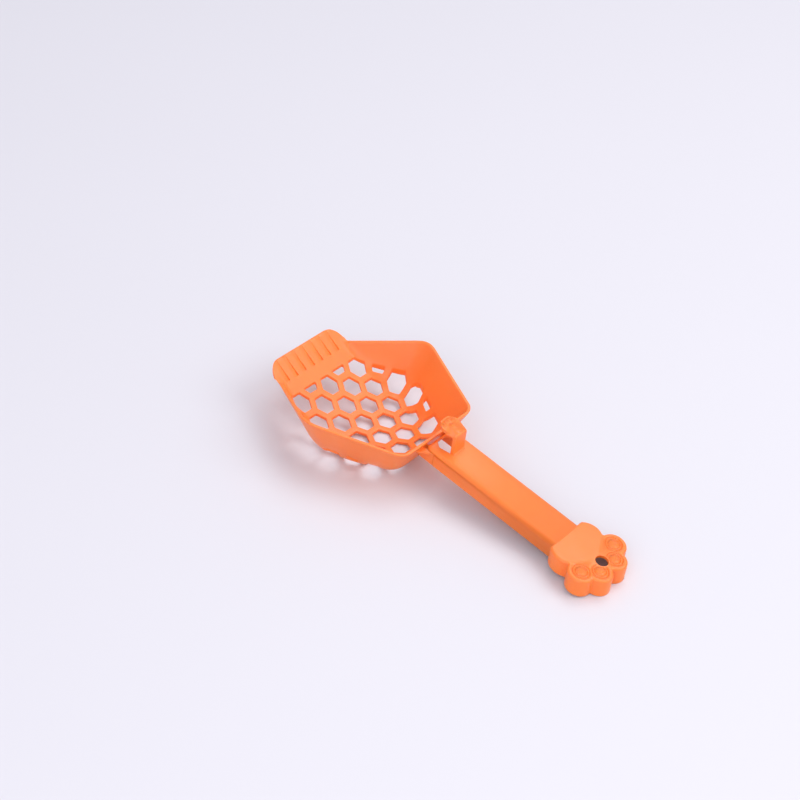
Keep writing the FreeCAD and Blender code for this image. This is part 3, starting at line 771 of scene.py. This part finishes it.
def groove_outlines():
    """Lines that the mesh must follow at the grooves and the bevel of the lip."""
    sizes = bpy.context.scene.scoop_sizes
    width = sizes.groove_width / MM
    ramp = 0.14
    lines = []
    for y in groove_lines():
        xs = np.linspace(GROOVE_FRONT_X, GROOVE_BACK_X, 8)
        inner = [(x, y) for x in xs] + [(x, y - width) for x in xs[::-1]]
        lines.append((np.array(inner), True))
        a, b = GROOVE_FRONT_X - ramp, GROOVE_BACK_X + ramp
        xs = np.linspace(a, b, 8)
        outer = [(x, y + ramp) for x in xs] + [(x, y - width - ramp) for x in xs[::-1]]
        lines.append((np.array(outer), True))
    bevel = sizes.lip_bevel / MM
    half = LIP_HALF_WIDTH - LIP_CORNER_R + math.sqrt(
        LIP_CORNER_R ** 2 - (LIP_CORNER_R - bevel) ** 2) - 1.0
    lines.append((np.array([(bevel, y) for y in np.linspace(-half, half, 41)]), False))
    return lines


def rim_lines():
    """Lines along the inner edge of the rim, where the mesh is finer."""
    turn = rim_turns()[4:-4:2]
    lines = []
    for lift in (-2.6, -1.3, -0.6, 0.0, 0.6):
        reach = ray_hits(lambda x, y: basin_z(x, y) - rim_z(x) - lift, turn)
        lines.append((on_ray(turn, reach), False))
    return lines


def bowl_shell():
    """Points and faces of the closed bowl: top face, bottom face and all rounded edges."""
    sizes = bpy.context.scene.scoop_sizes
    step = sizes.mesh_step / MM
    edges = bowl_edges()
    points, faces = [], []
    top_loops = [rows[0][:, :2] for rows in edges]
    bottom_loops = [rows[-1][:, :2] for rows in edges]
    ends = []
    for loops, height, lines in (
            (top_loops, top_face, groove_outlines() + rim_lines()),
            (bottom_loops, bottom_face, [])):
        plan, triangles, first = sheet(loops, lines, step)
        base = len(points)
        z = height(plan[:, 0], plan[:, 1])
        points += [(p[0], p[1], h) for p, h in zip(plan, z)]
        if height is bottom_face:
            triangles = triangles[:, ::-1]
        faces += [tuple(int(i) + base for i in t) for t in triangles]
        ends.append([i + base for i in first])
    start = 0
    for rows in edges:
        count = len(rows[0])
        before = ends[0][start:start + count]
        for k, row in enumerate(rows[1:]):
            if k == len(rows) - 2:
                after = ends[1][start:start + count]
            else:
                after = list(range(len(points), len(points) + count))
                points += [tuple(p) for p in row]
            for i in range(count):
                j = (i + 1) % count
                faces.append((before[j], before[i], after[i], after[j]))
            before = after
        start += count
    return points, faces


# ---- fork ----------------------------------------------------------------------------
def handle_top(x):
    """Height of the handle's top face."""
    return HANDLE_TOP_Z - HANDLE_FALL * (x - HANDLE_TOP_X)


def wall_middle(y, below):
    """Where a line, this far below the handle's top, meets the middle of the back wall."""
    low, high = BACK_X - 30.0, BACK_X + 3.0
    for _ in range(40):
        x = 0.5 * (low + high)
        inner = float(basin_z(x, y))
        if 0.5 * (inner + float(outer_z(x, y))) > handle_top(x) - below:
            high = x
        else:
            low = x
    return 0.5 * (low + high)


def block(plan, upper, lower):
    """Points and faces of a block over plan points; a plan x of None is the bowl's wall."""
    points, faces = [], []
    for below in (upper, lower):
        for x, y in plan:
            at = wall_middle(y, below) if x is None else x
            points.append((at, y, handle_top(at) - below))
    count = len(plan)
    flip = area([(500.0 * (x is not None) + (x or 0.0), y) for x, y in plan]) < 0
    top, bottom = list(range(count)), list(range(count, 2 * count))
    faces.append(top[::-1] if flip else top)
    faces.append(bottom if flip else bottom[::-1])
    for i in range(count):
        j = (i + 1) % count
        face = (j, i, i + count, j + count)
        faces.append(face[::-1] if flip else face)
    return points, faces


def fork_blocks():
    """Prongs, shoulders and gussets behind the bowl."""
    under = WALL + RUNNING_GAP
    outer = HANDLE_HALF_WIDTH
    prong = outer - WALL - RUNNING_GAP
    inner = prong - FORK_THICKNESS
    shoulder = SHOULDER_X - RUNNING_GAP
    blocks = []
    for side in (-1, 1):
        blocks.append(block(
            [(None, side * inner), (shoulder, side * inner), (shoulder, side * outer),
             (None, side * outer)], under, HANDLE_DEPTH))
        root = shoulder - PRONG_ROOT
        near = side * (inner + PRONG_INSET)
        blocks.append(block(
            [(root, near), (FORK_TIP_X, near), (FORK_TIP_X, side * prong), (root, side * prong)],
            under + PRONG_INSET, HANDLE_DEPTH - FORK_SHORT))
        end = shoulder - GUSSET_BACK
        near = side * (inner + GUSSET_INSET)
        blocks.append(block(
            [(None, near), (end, near), (end, side * outer),
             (None, side * (outer + GUSSET_REACH))],
            under, under + GUSSET_THICKNESS))
    return blocks


# ---- studio --------------------------------------------------------------------------
def studio_floor():
    """Wide flat floor under the scoop."""
    reach = 4.0
    mesh = bpy.data.meshes.new("studio_floor")
    mesh.from_pydata(
        [(-reach, -reach, 0), (reach, -reach, 0), (reach, reach, 0), (-reach, reach, 0)],
        [], [(0, 1, 2, 3)])
    mesh.materials.append(studio_card())
    floor = bpy.data.objects.new("studio_floor", mesh)
    bpy.context.scene.collection.objects.link(floor)


def softbox(name, place, size, power, colour):
    """Round soft light that faces the middle of the scoop."""
    light = bpy.data.lights.new(name, "AREA")
    light.shape = "DISK"
    light.size = size
    light.energy = power
    light.color = linear(colour)[:3]
    lamp = bpy.data.objects.new(name, light)
    bpy.context.scene.collection.objects.link(lamp)
    lamp.location = place
    lamp.rotation_euler = Vector(place).to_track_quat("Z", "Y").to_euler()


def room_light():
    """Even pale light from all round."""
    world = bpy.data.worlds.new("soft room light")
    world.use_nodes = True
    sky = world.node_tree.nodes["Background"]
    sky.inputs["Color"].default_value = linear("E8E7F0")
    sky.inputs["Strength"].default_value = 0.82
    bpy.context.scene.world = world


def studio_camera():
    """Camera at the studio's angles round the point that it looks at."""
    studio = bpy.context.scene.scoop_studio
    lens = bpy.data.cameras.new("studio_camera")
    lens.lens = studio.lens
    lens.sensor_width = 36.0
    camera = bpy.data.objects.new("studio_camera", lens)
    bpy.context.scene.collection.objects.link(camera)
    a, e = studio.azimuth, studio.elevation
    back = Vector((math.sin(a) * math.cos(e), -math.cos(a) * math.cos(e), math.sin(e)))
    right = Vector((math.cos(a), math.sin(a), 0.0))
    up = back.cross(right)
    turned_right = right * math.cos(studio.roll) + up * math.sin(studio.roll)
    turned_up = back.cross(turned_right)
    turn = Matrix((turned_right, turned_up, back)).transposed().to_4x4()
    place = Vector(studio.aim) + back * studio.distance
    camera.matrix_world = Matrix.Translation(place) @ turn
    bpy.context.scene.camera = camera


# ---- operators -----------------------------------------------------------------------
class SCOOP_OT_bowl(bpy.types.Operator):
    """Build the honeycomb bowl with its lip, grooves and rounded rim"""
    bl_idname = "scoop.bowl"
    bl_label = "Bowl"

    def execute(self, context):
        material = moulded_polypropylene("moulded polypropylene, bowl", 0.0)
        points, faces = bowl_shell()
        piece = mesh_piece("bowl_shell", points, faces, material)
        soften(piece, 32)
        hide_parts("sieve_bowl")
        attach(piece, "bowl")
        return {"FINISHED"}


class SCOOP_OT_fork(bpy.types.Operator):
    """Build the fork behind the bowl that plugs into the handle"""
    bl_idname = "scoop.fork"
    bl_label = "Fork"

    def execute(self, context):
        material = bpy.data.materials["moulded polypropylene, bowl"]
        points, faces = [], []
        for block_points, block_faces in fork_blocks():
            base = len(points)
            points += block_points
            faces += [tuple(i + base for i in face) for face in block_faces]
        piece = mesh_piece("bowl_fork", points, faces, material)
        bevel = piece.modifiers.new("soft edges", "BEVEL")
        bevel.width = 0.25 * MM
        bevel.segments = 3
        bevel.limit_method = "ANGLE"
        soften(piece, 40)
        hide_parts("sieve_bowl")
        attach(piece, "bowl")
        return {"FINISHED"}


class SCOOP_OT_handle(bpy.types.Operator):
    """Build the hollow handle with its hook and paw-shaped end"""
    bl_idname = "scoop.handle"
    bl_label = "Handle"

    def execute(self, context):
        material = moulded_polypropylene("moulded polypropylene, handle", 0.7)
        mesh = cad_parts["handle"].data.copy()
        form = bmesh.new()
        form.from_mesh(mesh)
        bmesh.ops.remove_doubles(form, verts=form.verts, dist=1e-7)
        form.to_mesh(mesh)
        form.free()
        mesh.materials.clear()
        mesh.materials.append(material)
        piece = bpy.data.objects.new("handle_shell", mesh)
        context.scene.collection.objects.link(piece)
        soften(piece, 28)
        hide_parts("handle")
        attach(piece, "handle")
        return {"FINISHED"}


class SCOOP_OT_stage(bpy.types.Operator):
    """Set up the floor, the lights and the camera"""
    bl_idname = "scoop.stage"
    bl_label = "Stage"

    def execute(self, context):
        studio_floor()
        softbox("key_softbox", (1.25, 0.75, 1.55), 1.6, 18.0, "FFFDFB")
        softbox("fill_softbox", (0.5, -1.5, 1.1), 1.7, 14.0, "FDFCFF")
        softbox("top_softbox", (-0.2, 1.0, 1.9), 1.4, 12.0, "FFFFFF")
        room_light()
        studio_camera()
        context.scene.view_settings.view_transform = "Standard"
        return {"FINISHED"}


class SCOOP_PT_panel(bpy.types.Panel):
    """Lists the pieces of the scoop"""
    bl_idname = "SCOOP_PT_panel"
    bl_label = "Sifting Scoop"
    bl_space_type = "VIEW_3D"
    bl_region_type = "UI"
    bl_category = "Scoop"

    def draw(self, context):
        layout = self.layout
        for group in ("scoop_sizes", "scoop_finish", "scoop_studio"):
            holder = getattr(context.scene, group)
            box = layout.box()
            for key in holder.__annotations__:
                box.prop(holder, key)
        for operator in OPERATORS:
            layout.operator(operator.bl_idname)


GROUPS = (
    ("scoop_sizes", ScoopSizes),
    ("scoop_finish", ScoopFinish),
    ("scoop_studio", ScoopStudio),
)
OPERATORS = (SCOOP_OT_bowl, SCOOP_OT_fork, SCOOP_OT_handle, SCOOP_OT_stage)


def register():
    for name, group in GROUPS:
        bpy.utils.register_class(group)
        setattr(bpy.types.Scene, name, bpy.props.PointerProperty(type=group))
    for operator in OPERATORS:
        bpy.utils.register_class(operator)
    bpy.utils.register_class(SCOOP_PT_panel)


def unregister():
    bpy.utils.unregister_class(SCOOP_PT_panel)
    for operator in reversed(OPERATORS):
        bpy.utils.unregister_class(operator)
    for name, group in reversed(GROUPS):
        delattr(bpy.types.Scene, name)
        bpy.utils.unregister_class(group)


def main():
    register()
    bpy.ops.scoop.bowl()
    bpy.ops.scoop.fork()
    bpy.ops.scoop.handle()
    bpy.ops.scoop.stage()


if __name__ == "__main__":
    main()
